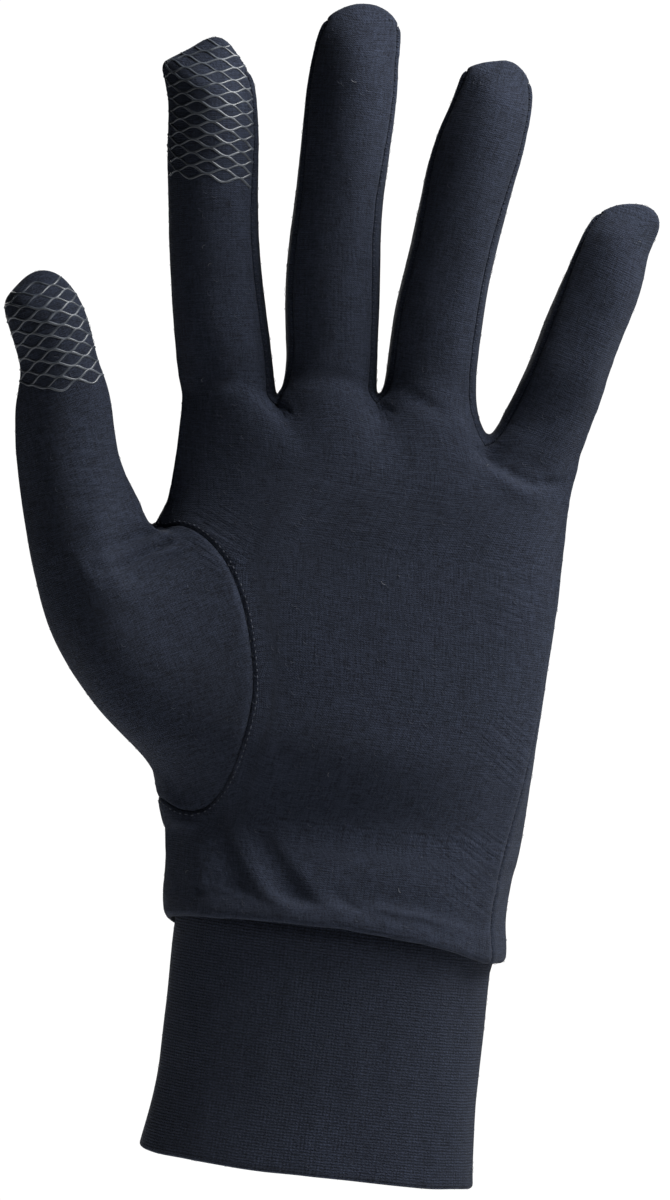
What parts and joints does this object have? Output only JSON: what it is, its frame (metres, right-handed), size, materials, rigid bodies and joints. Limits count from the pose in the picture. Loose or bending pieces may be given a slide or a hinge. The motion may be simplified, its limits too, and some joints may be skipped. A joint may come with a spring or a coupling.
{
  "type": "glove liner",
  "caption": "Thin knitted glove liner in its worn, spread form: a hollow shell open at a ribbed wrist cuff, with a raised net on the index and thumb tips.",
  "frame": {"origin": "centre of the wrist opening, level with the hem of the cuff", "axes": "+Z from the wrist to the fingertips, -Y the palm side, +Y the back of the hand, thumb towards -X"},
  "size_m": [0.14, 0.0462, 0.2551],
  "materials": {
    "jersey": "fine dark heather wool jersey",
    "rib_knit": "fine rib knit, folded double",
    "silicone": "translucent grey silicone print, satin"
  },
  "bodies": {
    "root": {"palm_panel": "jersey", "back_panel": "jersey", "fourchette_index_middle": "jersey", "fourchette_middle_ring": "jersey", "fourchette_ring_little": "jersey", "thumb": "jersey", "cuff": "rib_knit", "print_index": "silicone", "print_thumb": "silicone"}
  },
  "joints": []
}
